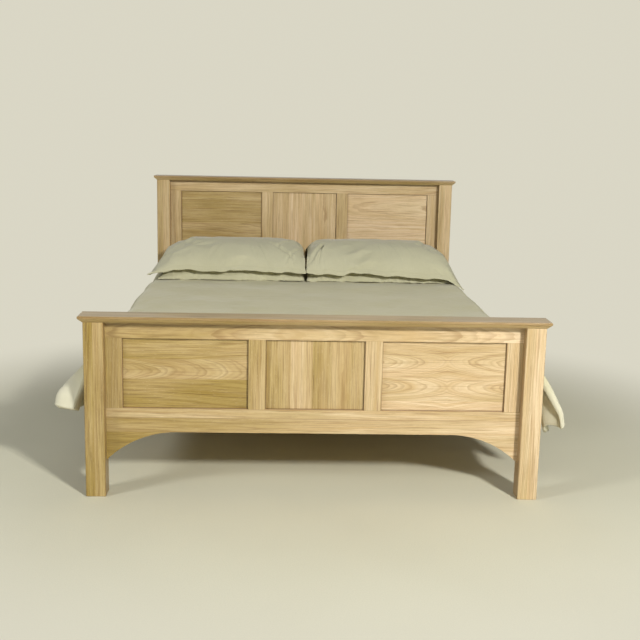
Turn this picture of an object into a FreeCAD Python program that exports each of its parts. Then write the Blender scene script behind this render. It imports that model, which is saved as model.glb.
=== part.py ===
import FreeCAD, Part
import math
import os

# Oak panel bed with a high foot end, a mattress, a duvet and two stacked pairs of pillows.
# X runs across the bed, Y from the foot end to the head end, Z up. The origin is on the floor,
# midway between the two sides and midway between the two ends. Everything is in millimetres.

# ---- Mattress: the space that the bed is sold by -------------------------------------------
mattress_width = 1500.0
mattress_length = 2000.0
mattress_height = 200.0
mattress_corner_round = 70.0
mattress_edge_bevel = 24.0
mattress_side_gap = 2.0
mattress_lift_clearance = 1.0

# ---- Posts ---------------------------------------------------------------------------------
post_side = 68.0
post_arris = 2.0
foot_post_height = 610.0
head_post_height = 965.0

# ---- Caps: flat boards with a bevelled underside that run over posts and frame --------------
cap_thickness = 22.0
cap_overhang = 15.0
cap_bevel = 14.0
cap_top_round = 2.5

# ---- Frame-and-panel work between the posts --------------------------------------------------
insert_thickness = 30.0
insert_setback = 36.0
stile_width = 56.0
muntin_width = 59.0
centre_panel_width = 340.0
panel_thickness = 10.0
groove_depth = 10.0
groove_play = 0.2
panel_swell_room = 2.0
stub_end_room = 1.0

foot_top_rail_depth = 60.0
foot_panel_height = 244.0
foot_bottom_rail_depth = 33.0
head_top_rail_depth = 57.0
head_panel_height = 578.0
head_bottom_rail_depth = 140.0

# ---- Arched apron under the footboard --------------------------------------------------------
apron_crown_depth = 51.0
arch_rise = 100.0
arch_run = 240.0

# ---- Tenons of rails and apron in the posts ---------------------------------------------------
tenon_thickness = 12.0
tenon_length = 26.0
tenon_shoulder = 6.0
mortise_play = 0.1
mortise_end_room = 0.9

# ---- Side rails, ledges and slats --------------------------------------------------------------
rail_thickness = 26.0
rail_depth = 140.0
rail_top = 330.0
rail_inset = 2.0
rail_arris = 3.0
slat_top = 280.0
slat_count = 14
slat_width = 68.0
slat_thickness = 18.0
slat_arris = 2.0
slat_end_gap = 3.0
slat_field_inset = 24.0
ledge_side = 28.0
ledge_arris = 2.0
ledge_end_gap = 8.0

# ---- Centre rail, its steel shoes and its legs --------------------------------------------------
centre_rail_width = 70.0
centre_rail_depth = 36.0
centre_rail_end_gap = 3.0
shoe_metal = 2.0
shoe_reach = 40.0
shoe_flange = 24.0
shoe_play = 0.3
centre_leg_side = 45.0
centre_leg_arris = 3.0
centre_leg_spacing = 600.0

# ---- Rail fixings: stud, half-moon washer and nut, two sets at each rail end ----------------------
thread_radius = 4.0
thread_play = 0.05
stud_length = 68.0
stud_in_post = 22.0
stud_in_leg = 36.0
stud_bore_radius = 4.5
stud_height_from_rail_edge = 26.0
pocket_radius = 13.0
pocket_floor_room = 0.5
pocket_offset = 42.0
washer_play = 0.3
washer_flat_offset = 5.0
washer_height = 16.0
nut_across_flats = 13.0
nut_height = 6.5

# ---- Bedding ---------------------------------------------------------------------------------
soft_gap = 0.5
duvet_thickness = 22.0
duvet_hem_thickness = 14.0
duvet_foot_gap = 1.5
duvet_head_gap = 44.0
duvet_left_drop = 225.0
duvet_right_drop = 246.0
duvet_fold_pitch = 489.0
duvet_fold_depth = 20.0
duvet_fold_steps = 3
duvet_edge_roll = 9.0
duvet_flare_reach = 105.0
duvet_flare_length = 150.0
pillow_width = 752.0
pillow_pair_gap = 14.0
pillow_cap_gap = 6.0
pillow_seam = 5.0
pillow_waist = 0.06
pillow_end_crown = 3.0
pillow_level_share = 0.7
pillow_end_steps = 4
pillow_stack_gap = 0.8
lower_pillow_depth = 420.0
lower_pillow_crown = 104.0
upper_pillow_depth = 478.0
upper_pillow_crown = 92.0
upper_front_rest = 0.32
upper_back_rest = 0.55
lower_pillow_flat_half = 128.0
lower_pillow_bulge = 0.12
upper_hollow_reach = 48.0

# ---- Derived planes ------------------------------------------------------------------------------
rail_inner = mattress_width / 2 + mattress_side_gap
rail_outer = rail_inner + rail_thickness
post_outer = rail_outer + rail_inset
post_inner = post_outer - post_side
mattress_end_gap = cap_overhang + mattress_lift_clearance
inner_length = mattress_length + 2 * mattress_end_gap
foot_post_back = -inner_length / 2
foot_post_front = foot_post_back - post_side
head_post_front = inner_length / 2
foot_insert_front = foot_post_front + insert_setback
foot_insert_back = foot_insert_front + insert_thickness
head_insert_front = head_post_front + insert_setback

rail_bottom = rail_top - rail_depth
slat_bottom = slat_top - slat_thickness
ledge_inner = rail_inner - ledge_side
mattress_bottom = slat_top + soft_gap
mattress_top = mattress_bottom + mattress_height
groove_width = panel_thickness + 2 * groove_play
side_panel_outer = post_inner - stile_width
muntin_inner = centre_panel_width / 2
muntin_outer = muntin_inner + muntin_width

SIDES = {"left": -1, "right": 1}
V = FreeCAD.Vector


# ---- Small helpers -------------------------------------------------------------------------------
def save(node, shape):
    """Write one sub-part."""
    shape.exportStep("parts/" + node + ".step")


def block(x0, x1, y0, y1, z0, z1):
    """A square-edged board between two planes on each axis, given in either order."""
    low = V(min(x0, x1), min(y0, y1), min(z0, z1))
    return Part.makeBox(abs(x1 - x0), abs(y1 - y0), abs(z1 - z0), low)


def rod(radius, length, start, direction):
    """A round bar or bore."""
    return Part.makeCylinder(radius, length, start, direction)


def edges_along(shape, axis):
    """The straight edges of a shape that run along one axis, 0 for X, 1 for Y, 2 for Z."""
    found = []
    for edge in shape.Edges:
        run = edge.Vertexes[-1].Point - edge.Vertexes[0].Point
        if abs(abs(run[axis]) - run.Length) < 1e-6:
            found.append(edge)
    return found


def edges_at_height(shape, z):
    """The edges that lie in one level plane."""
    return [edge for edge in shape.Edges if all(abs(v.Z - z) < 1e-6 for v in edge.Vertexes)]


def group(solids):
    """Several separate solids as one node."""
    return Part.makeCompound(solids)


# ---- Posts and the mortises in them -------------------------------------------------------------
def post(side, y_front, height, tenon_spans, stud_face, stud_direction):
    """One square post with eased edges, rail mortises and two holes that the studs screw into.

    tenon_spans lists the (bottom, top) of each tenon that enters it. stud_face is the Y of the
    face that the side rail meets, and stud_direction points from that face into the post.
    """
    shape = block(side * post_inner, side * post_outer, y_front, y_front + post_side, 0, height)
    shape = shape.makeChamfer(post_arris, edges_along(shape, 2) + edges_at_height(shape, 0))
    y_middle = y_front + insert_setback + insert_thickness / 2
    half = tenon_thickness / 2 + mortise_play
    mortise_end = post_inner + tenon_length + mortise_end_room
    for bottom, top in tenon_spans:
        mortise = block(side * post_inner, side * mortise_end, y_middle - half, y_middle + half,
                        bottom - mortise_play, top + mortise_play)
        shape = shape.cut(mortise)
    for z in stud_heights():
        start = V(side * rail_middle(), stud_face, z)
        hole = rod(thread_radius + thread_play, stud_in_post + mortise_end_room, start,
                   V(0, stud_direction, 0))
        shape = shape.cut(hole)
    return shape


def rail_middle():
    """Distance of the side rails' middle plane from the bed's middle."""
    return (rail_inner + rail_outer) / 2


def stud_heights():
    """The heights of the two studs at each rail end."""
    return (rail_bottom + stud_height_from_rail_edge, rail_top - stud_height_from_rail_edge)


# ---- Boards of the head and foot ends --------------------------------------------------------------
def tenon_span(bottom, top):
    """The (bottom, top) of the tenon on a rail with these edges."""
    return (bottom + tenon_shoulder, top - tenon_shoulder)


def with_tenons(board, y_middle, span):
    """A board that runs from post to post, with a tenon added at each end."""
    for side in SIDES.values():
        tenon = block(side * post_inner, side * (post_inner + tenon_length),
                      y_middle - tenon_thickness / 2, y_middle + tenon_thickness / 2,
                      span[0], span[1])
        board = board.fuse(tenon)
    return board.removeSplitter()


def groove_cutter(x0, x1, y_middle, z0, z1):
    """The room that a panel groove takes out of a board."""
    return block(x0, x1, y_middle - groove_width / 2, y_middle + groove_width / 2, z0, z1)


def upright(x0, x1, y_middle, z0, z1, grooved_edges):
    """A stile or muntin with stub tongues in the rails' grooves and grooves for the panels."""
    shape = block(x0, x1, y_middle - insert_thickness / 2, y_middle + insert_thickness / 2, z0, z1)
    tongue = groove_depth - stub_end_room
    shape = shape.fuse(block(x0, x1, y_middle - panel_thickness / 2,
                             y_middle + panel_thickness / 2, z0 - tongue, z1 + tongue))
    shape = shape.removeSplitter()
    for x_edge, inward in grooved_edges:
        cutter = groove_cutter(x_edge, x_edge + inward * groove_depth, y_middle,
                               z0 - groove_depth, z1 + groove_depth)
        shape = shape.cut(cutter)
    return shape


def panel(x0, x1, y_middle, z0, z1):
    """A flat glued-up panel, larger than its opening by what enters the grooves."""
    enter = groove_depth - panel_swell_room
    return block(x0 - enter, x1 + enter, y_middle - panel_thickness / 2,
                 y_middle + panel_thickness / 2, z0 - enter, z1 + enter)


def cap(y_front, post_height):
    """The cap board: a bevel runs up under all four edges to a slim nose with a soft top edge."""
    top = post_height + cap_thickness
    reach = post_outer + cap_overhang
    shape = block(-reach, reach, y_front - cap_overhang, y_front + post_side + cap_overhang,
                  post_height, top)
    shape = shape.makeChamfer(cap_bevel, edges_at_height(shape, post_height))
    return shape.makeFillet(cap_top_round, edges_at_height(shape, top))


def end_frame(end, y_front, post_height, top_rail_depth, panel_height, bottom_rail_depth):
    """Cap, rails, stiles, muntins and panels of one end. Returns the rails' tenon spans."""
    y_middle = y_front + insert_setback + insert_thickness / 2
    y0 = y_middle - insert_thickness / 2
    y1 = y_middle + insert_thickness / 2
    panel_top = post_height - top_rail_depth
    panel_bottom = panel_top - panel_height
    frame_bottom = panel_bottom - bottom_rail_depth
    top_span = tenon_span(panel_top, post_height)
    bottom_span = tenon_span(frame_bottom, panel_bottom)

    save(end + "_cap", cap(y_front, post_height))

    top_rail = block(-post_inner, post_inner, y0, y1, panel_top, post_height)
    top_rail = top_rail.cut(groove_cutter(-post_inner, post_inner, y_middle, panel_top,
                                          panel_top + groove_depth))
    top_span = (top_span[0] + groove_depth, top_span[1])
    save(end + "_top_rail", with_tenons(top_rail, y_middle, top_span))

    bottom_rail = block(-post_inner, post_inner, y0, y1, frame_bottom, panel_bottom)
    bottom_rail = bottom_rail.cut(groove_cutter(-post_inner, post_inner, y_middle,
                                                panel_bottom - groove_depth, panel_bottom))
    bottom_span = (bottom_span[0], bottom_span[1] - groove_depth)
    save(end + "_bottom_rail", with_tenons(bottom_rail, y_middle, bottom_span))

    for name, side in SIDES.items():
        stile = upright(side * post_inner, side * side_panel_outer, y_middle, panel_bottom,
                        panel_top, [(side * side_panel_outer, side)])
        save(end + "_stile_" + name, stile)
        muntin = upright(side * muntin_inner, side * muntin_outer, y_middle, panel_bottom,
                         panel_top, [(side * muntin_inner, side), (side * muntin_outer, -side)])
        save(end + "_muntin_" + name, muntin)
        edges = sorted((side * muntin_outer, side * side_panel_outer))
        save(end + "_panel_" + name, panel(edges[0], edges[1], y_middle, panel_bottom, panel_top))
    save(end + "_panel_centre",
         panel(-muntin_inner, muntin_inner, y_middle, panel_bottom, panel_top))
    return [top_span, bottom_span]


def arch_apron(top):
    """The board under the footboard: level along the crown, an arc down to each post."""
    y_middle = foot_insert_front + insert_thickness / 2
    crown = top - apron_crown_depth
    low = crown - arch_rise
    radius = (arch_run ** 2 + arch_rise ** 2) / (2 * arch_rise)
    crown_half = post_inner - arch_run
    half_turn = math.asin(arch_run / radius) / 2
    mid_x = crown_half + radius * math.sin(half_turn)
    mid_z = crown - radius * (1 - math.cos(half_turn))
    y0 = foot_insert_front

    def at(x, z):
        return V(x, y0, z)

    outline = Part.Wire([
        Part.makeLine(at(-post_inner, top), at(post_inner, top)),
        Part.makeLine(at(post_inner, top), at(post_inner, low)),
        Part.Arc(at(post_inner, low), at(mid_x, mid_z), at(crown_half, crown)).toShape(),
        Part.makeLine(at(crown_half, crown), at(-crown_half, crown)),
        Part.Arc(at(-crown_half, crown), at(-mid_x, mid_z), at(-post_inner, low)).toShape(),
        Part.makeLine(at(-post_inner, low), at(-post_inner, top)),
    ])
    board = Part.Face(outline).extrude(V(0, insert_thickness, 0))
    span = (low + 2 * tenon_shoulder, top - tenon_shoulder)
    save("footboard_arch_apron", with_tenons(board, y_middle, span))
    return span


def ends():
    """Both ends of the bed, with the posts that carry them."""
    foot_spans = end_frame("footboard", foot_post_front, foot_post_height, foot_top_rail_depth,
                           foot_panel_height, foot_bottom_rail_depth)
    apron_top = (foot_post_height - foot_top_rail_depth - foot_panel_height
                 - foot_bottom_rail_depth)
    foot_spans.append(arch_apron(apron_top))
    head_spans = end_frame("headboard", head_post_front, head_post_height, head_top_rail_depth,
                           head_panel_height, head_bottom_rail_depth)
    for name, side in SIDES.items():
        save("footboard_post_" + name,
             post(side, foot_post_front, foot_post_height, foot_spans, foot_post_back, -1))
        save("headboard_post_" + name,
             post(side, head_post_front, head_post_height, head_spans, head_post_front, 1))


# ---- Fixings --------------------------------------------------------------------------------------
def rail_ends():
    """Each rail end as (side, Y of the post face, direction from the face into the rail)."""
    for side in SIDES.values():
        yield side, foot_post_back, 1
        yield side, head_post_front, -1


def stud_bore(side, y_face, into_rail, z):
    """The stud's bore along the rail, through to the far side of the pocket's middle."""
    start = V(side * rail_middle(), y_face, z)
    return rod(stud_bore_radius, pocket_offset + pocket_radius / 2, start, V(0, into_rail, 0))


def pocket(side, y_face, into_rail, z):
    """The round pocket in the rail's inner face that holds washer and nut."""
    centre = V(side * rail_inner, y_face + into_rail * pocket_offset, z)
    depth = (rail_thickness + washer_height) / 2 + pocket_floor_room
    return rod(pocket_radius, depth, centre, V(side, 0, 0))


def half_moon(side, y_face, into_rail, z):
    """A washer with one side curved to the pocket's wall and a flat side for the nut.

    An open slot lets it slip over the stud from the rail's inner face.
    """
    y_centre = y_face + into_rail * pocket_offset
    x0 = side * (rail_middle() - washer_height / 2)
    disc = rod(pocket_radius - washer_play, washer_height, V(x0, y_centre, z), V(side, 0, 0))
    flat = y_centre - into_rail * washer_flat_offset
    keep = block(x0, x0 + side * washer_height, flat, flat - into_rail * 2 * pocket_radius,
                 z - pocket_radius, z + pocket_radius)
    slot = block(side * rail_inner, side * (rail_middle() + stud_bore_radius),
                 flat, flat - into_rail * 2 * pocket_radius,
                 z - stud_bore_radius, z + stud_bore_radius)
    return disc.common(keep).cut(slot)


def hexagon(centre, direction, across_flats, height):
    """A hexagonal prism along Y."""
    radius = across_flats / math.sqrt(3)
    corners = []
    for k in range(7):
        turn = k * math.pi / 3
        corners.append(centre + V(radius * math.cos(turn), 0, radius * math.sin(turn)))
    return Part.Face(Part.makePolygon(corners)).extrude(V(0, direction * height, 0))


def rail_nut(side, y_face, into_rail, z):
    """A plain nut on the stud, against the washer's flat."""
    seat = y_face + into_rail * (pocket_offset - washer_flat_offset)
    centre = V(side * rail_middle(), seat, z)
    body = hexagon(centre, into_rail, nut_across_flats, nut_height)
    return body.cut(rod(thread_radius + thread_play, nut_height, centre, V(0, into_rail, 0)))


def rail_stud(side, y_face, into_rail, z):
    """The stud, screwed into the post and reaching just past the nut."""
    start = V(side * rail_middle(), y_face - into_rail * stud_in_post, z)
    return rod(thread_radius, stud_length, start, V(0, into_rail, 0))


# ---- Side rails, ledges, slats --------------------------------------------------------------------
def slat_positions():
    """The Y of each slat's middle."""
    first = -mattress_length / 2 + slat_field_inset + slat_width / 2
    pitch = -2 * first / (slat_count - 1)
    return [first + k * pitch for k in range(slat_count)]


def side_frame():
    """Side rails with their pockets, the ledges, and the slats that lie on them."""
    for name, side in SIDES.items():
        rail = block(side * rail_inner, side * rail_outer, foot_post_back, head_post_front,
                     rail_bottom, rail_top)
        rail = rail.makeChamfer(rail_arris, edges_along(rail, 1))
        for end_side, y_face, into_rail in rail_ends():
            if end_side == side:
                for z in stud_heights():
                    rail = rail.cut(pocket(side, y_face, into_rail, z))
                    rail = rail.cut(stud_bore(side, y_face, into_rail, z))
        save("side_rail_" + name, rail)

        ledge = block(side * ledge_inner, side * rail_inner, foot_post_back + ledge_end_gap,
                      head_post_front - ledge_end_gap, slat_bottom - ledge_side, slat_bottom)
        free_edges = [e for e in edges_along(ledge, 1)
                      if abs(e.Vertexes[0].X - side * ledge_inner) < 1e-6]
        save("slat_ledge_" + name, ledge.makeChamfer(ledge_arris, free_edges))

    slat_half = rail_inner - slat_end_gap
    for number, y in enumerate(slat_positions(), start=1):
        slat = block(-slat_half, slat_half, y - slat_width / 2, y + slat_width / 2,
                     slat_bottom, slat_top)
        save("slat_%02d" % number, slat.makeChamfer(slat_arris, edges_along(slat, 0)))


def centre_support():
    """The centre rail in a steel shoe at each end, and the two legs under it."""
    top = slat_bottom
    bottom = top - centre_rail_depth
    half = centre_rail_width / 2
    rail = block(-half, half, foot_insert_back + centre_rail_end_gap,
                 head_insert_front - centre_rail_end_gap, bottom, top)
    leg_places = (-centre_leg_spacing / 2, centre_leg_spacing / 2)
    leg_names = ("foot", "head")
    leg_studs = []
    for name, y in zip(leg_names, leg_places):
        half_leg = centre_leg_side / 2
        foot = V(0, y, bottom - stud_in_leg)
        bore = rod(stud_bore_radius, stud_length + mortise_end_room, foot, V(0, 0, 1))
        leg = block(-half_leg, half_leg, y - half_leg, y + half_leg, 0, bottom)
        leg = leg.makeChamfer(centre_leg_arris, edges_along(leg, 2))
        save("centre_leg_" + name, leg.cut(bore))
        rail = rail.cut(bore)
        leg_studs.append(rod(thread_radius, stud_length, foot, V(0, 0, 1)))

    for name, y_board, way in (("foot", foot_insert_back, 1), ("head", head_insert_front, -1)):
        save("centre_rail_shoe_" + name, rail_shoe(y_board, way, bottom, top))
    save("centre_rail", rail)
    return leg_studs


def rail_shoe(y_board, way, bottom, top):
    """A bent steel shoe: base and cheeks round the rail's end, two flanges on the board."""
    inside = centre_rail_width / 2 + shoe_play
    outside = inside + shoe_metal
    base_low = bottom - shoe_metal
    y_end = y_board + way * shoe_reach
    shape = block(-outside, outside, y_board, y_end, base_low, bottom)
    for side in SIDES.values():
        shape = shape.fuse(block(side * inside, side * outside, y_board, y_end, base_low, top))
        flange_end = side * (outside + shoe_flange)
        shape = shape.fuse(block(side * inside, flange_end, y_board, y_board + way * shoe_metal,
                                 base_low, top))
    return shape.removeSplitter()


def fixings(leg_studs):
    """The groups of identical fixings."""
    places = [(side, y, into, z) for side, y, into in rail_ends() for z in stud_heights()]
    save("m8_studs", group([rail_stud(*p) for p in places] + leg_studs))
    save("half_moon_washers", group([half_moon(*p) for p in places]))
    save("m8_nuts", group([rail_nut(*p) for p in places]))


# ---- Bedding ---------------------------------------------------------------------------------------
def mattress():
    """A sprung mattress: rounded corners in plan, its top and bottom edges taken off."""
    half_width = mattress_width / 2
    half_length = mattress_length / 2
    shape = block(-half_width, half_width, -half_length, half_length, mattress_bottom, mattress_top)
    shape = shape.makeFillet(mattress_corner_round, edges_along(shape, 2))
    rims = edges_at_height(shape, mattress_top) + edges_at_height(shape, mattress_bottom)
    save("mattress", shape.makeChamfer(mattress_edge_bevel, rims))


def duvet_side(side, drop, s, roll):
    """Outer and inner outline points of one hanging side, from the top's edge to the hem.

    Outside, the cloth rolls over the mattress edge. Inside, it lies flat on the bevel there.

    drop is the cloth's length below the shoulder, s the distance from the foot edge, and roll how
    far the top is drawn down at a free edge. The side leans out just enough to clear the rail,
    and swings out further at the flared foot corner.
    """
    shoulder_x = mattress_width / 2 - mattress_edge_bevel
    shoulder_z = mattress_top - mattress_edge_bevel
    inner_round = mattress_edge_bevel + soft_gap
    outer_round = inner_round + duvet_thickness - roll
    pivot_x = shoulder_x + inner_round
    lean = math.atan((rail_outer + 2 * soft_gap - pivot_x) / (shoulder_z - rail_top))
    reach = post_outer + duvet_flare_reach - pivot_x - duvet_hem_thickness
    widest = math.asin(reach / drop)
    flare = (widest - lean) * math.exp(-(s / duvet_flare_length) ** 2)
    fold = duvet_fold_depth / drop * (1 - math.cos(2 * math.pi * s / duvet_fold_pitch)) / 2
    turn = lean + max(flare, fold)
    hem_in = V(side * (pivot_x + drop * math.sin(turn)), 0, shoulder_z - drop * math.cos(turn))
    hem_out = hem_in + V(side * duvet_hem_thickness, 0, 0)

    def rim(radius, angle):
        return V(side * (shoulder_x + radius * math.sin(angle)), 0,
                 shoulder_z + radius * math.cos(angle))

    quarter = math.pi / 2
    outer = [rim(outer_round, 0), rim(outer_round, quarter / 2), rim(outer_round, quarter), hem_out]
    inner = [rim(inner_round, 0), rim(inner_round, quarter), hem_in]
    return outer, inner


def duvet_section(y, s, roll):
    """One closed outline across the bed: over the top, down both sides and back under."""
    left_out, left_in = duvet_side(-1, duvet_left_drop, s, roll)
    right_out, right_in = duvet_side(1, duvet_right_drop, s, roll)
    shift = V(0, y, 0)

    def arc(points):
        return Part.Arc(*[p + shift for p in points]).toShape()

    def line(a, b):
        return Part.makeLine(a + shift, b + shift)

    return Part.Wire([
        line(left_out[3], left_out[2]), arc([left_out[2], left_out[1], left_out[0]]),
        line(left_out[0], right_out[0]), arc(right_out[0:3]), line(right_out[2], right_out[3]),
        line(right_out[3], right_in[2]), line(right_in[2], right_in[1]),
        line(right_in[1], right_in[0]), line(right_in[0], left_in[0]),
        line(left_in[0], left_in[1]), line(left_in[1], left_in[2]), line(left_in[2], left_out[3]),
    ])


def duvet():
    """The duvet: level on the mattress, its sides hanging in folds, its foot corners flared."""
    foot = foot_post_back + cap_overhang + duvet_foot_gap
    head = mattress_length / 2 - duvet_head_gap
    step = duvet_fold_pitch / duvet_fold_steps
    length = head - foot
    stations = [(0.0, duvet_edge_roll), (step / 3, 0.0)]
    stations += [(k * step, 0.0) for k in range(1, int(length / step))]
    stations += [(length - step / 3, 0.0), (length, duvet_edge_roll)]
    sections = [duvet_section(foot + s, s, roll) for s, roll in stations]
    save("duvet", Part.makeLoft(sections, True, True))


def pillow_stations():
    """Places along a pillow from -1 to 1, each with the fullness there, from 0 to 1.

    The middle is level, and each end falls to its seam along a quarter ellipse.
    """
    turns = [math.pi / 2 * k / pillow_end_steps for k in range(pillow_end_steps + 1)]
    fall = 1 - pillow_level_share
    right = [(pillow_level_share + fall * math.sin(turn), math.cos(turn)) for turn in turns]
    return [(-u, full) for u, full in reversed(right)] + right


def lower_outline(x, y_middle, half_depth, bed, top):
    """Upright outline of a pressed pillow: flat below and above, a bulging shoulder each side."""
    seam = bed + pillow_seam

    def shoulder(way):
        low = V(x, y_middle + way * half_depth, seam)
        high = V(x, y_middle + way * lower_pillow_flat_half, top)
        out = V(0, way, 1) * (top - seam)
        return low, (low + high) * 0.5 + out * lower_pillow_bulge, high

    front_low, front_mid, front_high = shoulder(-1)
    back_low, back_mid, back_high = shoulder(1)
    down = V(0, 0, -pillow_seam)
    return Part.Wire([
        Part.makeLine(front_low + down, front_low),
        Part.Arc(front_low, front_mid, front_high).toShape(),
        Part.makeLine(front_high, back_high),
        Part.Arc(back_high, back_mid, back_low).toShape(),
        Part.makeLine(back_low, back_low + down),
        Part.makeLine(back_low + down, front_low + down),
    ])


def upper_outline(x, y_middle, half_depth, heights):
    """Upright outline of a draped pillow: an arc over, and flats that hang down front and back.

    heights are those of the front seam, the back seam, the level underside and the crown.
    """
    z_front, z_back, z_under, z_over = heights
    front = V(x, y_middle - half_depth, z_front)
    back = V(x, y_middle + half_depth, z_back)
    hollow_half = lower_pillow_flat_half + upper_hollow_reach
    front_bend = V(x, y_middle - hollow_half, z_under)
    back_bend = V(x, y_middle + hollow_half, z_under)
    up = V(0, 0, pillow_seam)
    return Part.Wire([
        Part.makeLine(front, front + up),
        Part.Arc(front + up, V(x, y_middle, z_over), back + up).toShape(),
        Part.makeLine(back + up, back),
        Part.makeLine(back, back_bend),
        Part.makeLine(back_bend, front_bend),
        Part.makeLine(front_bend, front),
    ])


def pillow_pair(name, side):
    """A pillow lying on the duvet, pressed flat by a deeper one that drapes over it."""
    bed = mattress_top + 2 * soft_gap + duvet_thickness
    y_middle = head_post_front - cap_overhang - pillow_cap_gap - upper_pillow_depth / 2
    x_middle = side * (pillow_pair_gap + pillow_width) / 2
    lower_sections = []
    upper_sections = []
    for u, full in pillow_stations():
        x = x_middle + u * pillow_width / 2
        waist = 1 - pillow_waist * full
        top = bed + pillow_seam + pillow_end_crown + lower_pillow_crown * full
        lower_sections.append(lower_outline(x, y_middle, lower_pillow_depth / 2 * waist, bed, top))
        under = top + pillow_stack_gap
        seam_rest = bed + pillow_seam + soft_gap
        z_front = seam_rest + (under - seam_rest) * upper_front_rest
        z_back = seam_rest + (under - seam_rest) * upper_back_rest
        crown = under + pillow_seam + pillow_end_crown + upper_pillow_crown * full
        upper_sections.append(upper_outline(x, y_middle, upper_pillow_depth / 2 * waist,
                                            (z_front, z_back, under, crown)))
    save("pillow_lower_" + name, Part.makeLoft(lower_sections, True, True))
    save("pillow_upper_" + name, Part.makeLoft(upper_sections, True, True))


# ---- Build everything --------------------------------------------------------------------------------
def main():
    """Write every sub-part."""
    os.makedirs("parts", exist_ok=True)
    ends()
    side_frame()
    fixings(centre_support())
    mattress()
    duvet()
    for name, side in SIDES.items():
        pillow_pair(name, side)


main()
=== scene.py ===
import math

import bpy
import numpy as np
from mathutils import Matrix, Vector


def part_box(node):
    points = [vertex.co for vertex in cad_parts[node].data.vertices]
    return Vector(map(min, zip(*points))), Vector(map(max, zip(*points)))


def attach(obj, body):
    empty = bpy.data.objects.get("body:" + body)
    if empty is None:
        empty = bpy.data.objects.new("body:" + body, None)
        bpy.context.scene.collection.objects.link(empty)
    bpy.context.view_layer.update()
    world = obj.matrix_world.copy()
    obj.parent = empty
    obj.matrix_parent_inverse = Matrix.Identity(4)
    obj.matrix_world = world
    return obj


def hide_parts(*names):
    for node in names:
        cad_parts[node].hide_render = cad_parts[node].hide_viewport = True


# An oak panel bed with sage green bedding. Everything is in metres, in the frame of the CAD model:
# X across the bed, Y from the foot end to the head end, Z up.
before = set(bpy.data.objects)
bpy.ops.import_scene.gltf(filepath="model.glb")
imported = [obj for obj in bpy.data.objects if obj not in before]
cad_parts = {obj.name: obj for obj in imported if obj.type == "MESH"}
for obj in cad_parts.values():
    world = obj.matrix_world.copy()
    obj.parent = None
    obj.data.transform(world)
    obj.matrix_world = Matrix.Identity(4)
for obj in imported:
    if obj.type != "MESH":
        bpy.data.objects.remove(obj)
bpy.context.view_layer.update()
scene = bpy.context.scene
scene.view_settings.view_transform = "Standard"


# ---- Camera, light and floor -----------------------------------------------------------------
# The camera's yaw, pitch and roll in degrees, its place, and its lens and film in millimetres.
CAMERA_TURN = (2.2537, 10.838, 1.241)
CAMERA_PLACE = (-0.1230, -4.4754, 1.2787)
CAMERA_LENS = 58.05
CAMERA_FILM = 36.0

# The plain background, behind the bed and far out on the floor.
BACKDROP = (0.70, 0.675, 0.56, 1.0)

# The sky's strength goes from the first of its two strengths to the second as the heading's Y goes
# from the first of these two values to the second.
SKY_HEADINGS = (-0.1, 1.0)
SKY_STRENGTHS = (0.15, 0.58)


def photograph_camera():
    """A camera that looks along a heading, tilted down and rolled a little."""
    yaw, pitch, roll = (math.radians(angle) for angle in CAMERA_TURN)
    ahead = np.array([math.sin(yaw) * math.cos(pitch), math.cos(yaw) * math.cos(pitch),
                      -math.sin(pitch)])
    level = np.array([math.cos(yaw), -math.sin(yaw), 0.0])
    above = np.cross(level, ahead)
    right = math.cos(roll) * level + math.sin(roll) * above
    up = -math.sin(roll) * level + math.cos(roll) * above
    camera = bpy.data.objects.new("camera", bpy.data.cameras.new("camera"))
    turned = Matrix.Identity(4)
    for row in range(3):
        turned[row][0], turned[row][1], turned[row][2] = right[row], up[row], -ahead[row]
    turned.translation = CAMERA_PLACE
    camera.matrix_world = turned
    camera.data.sensor_width = CAMERA_FILM
    camera.data.lens = CAMERA_LENS
    scene.collection.objects.link(camera)
    scene.camera = camera


def soft_light(name, place, aim, size, power, colour):
    """A large square lamp that faces the point it lights."""
    lamp = bpy.data.objects.new(name, bpy.data.lights.new(name, "AREA"))
    lamp.data.size = size
    lamp.data.energy = power
    lamp.data.color = colour
    lamp.matrix_world = Matrix.Translation(place)
    away = np.array(place) - np.array(aim)
    turn = math.atan2(away[0], -away[1])
    tip = math.atan2(math.hypot(away[0], away[1]), away[2])
    lamp.rotation_euler = (tip, 0.0, turn)
    scene.collection.objects.link(lamp)


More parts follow.
